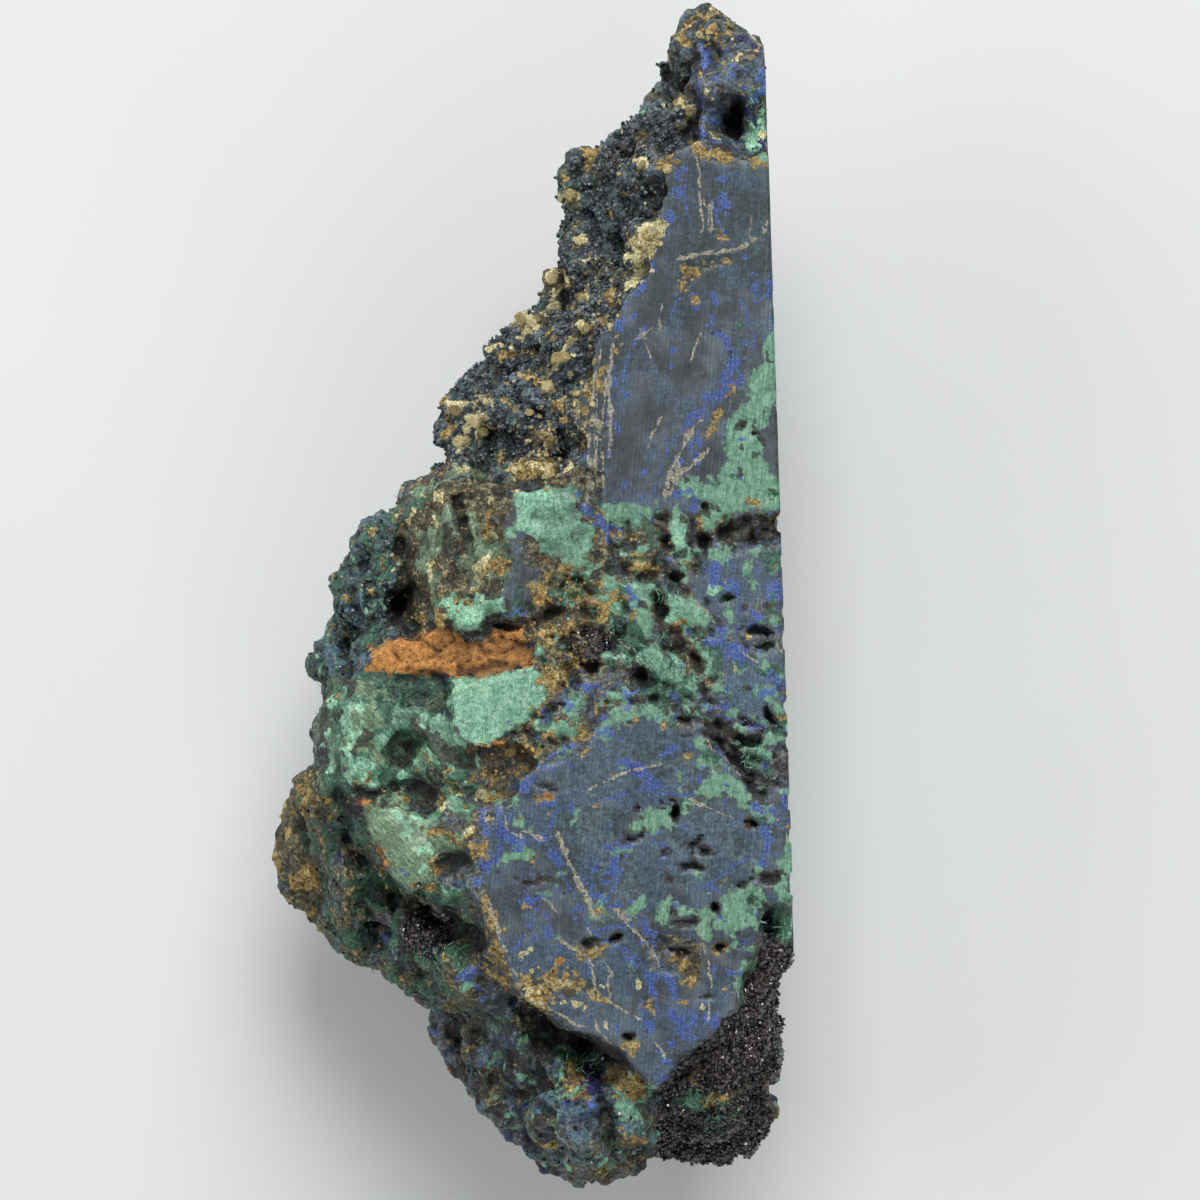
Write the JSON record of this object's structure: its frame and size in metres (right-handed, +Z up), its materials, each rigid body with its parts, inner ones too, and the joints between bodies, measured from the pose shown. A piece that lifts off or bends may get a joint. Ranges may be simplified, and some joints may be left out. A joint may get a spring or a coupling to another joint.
{
  "type": "azurite specimen",
  "caption": "Azurite and malachite rock, sawn flat across its front and straight down one side, lumpy and natural elsewhere, lying on its back.",
  "frame": {"origin": "middle of the underside of the bounding box, on the ground plane", "axes": "+Z up, out of the sawn face; +Y along the rock towards its narrow end; +X towards the second saw cut"},
  "size_m": [0.046, 0.104, 0.038],
  "materials": {
    "rock": "weathered copper ore, matt with sawn faces"
  },
  "bodies": {
    "root": {"azurite_rock": "rock"}
  },
  "joints": []
}
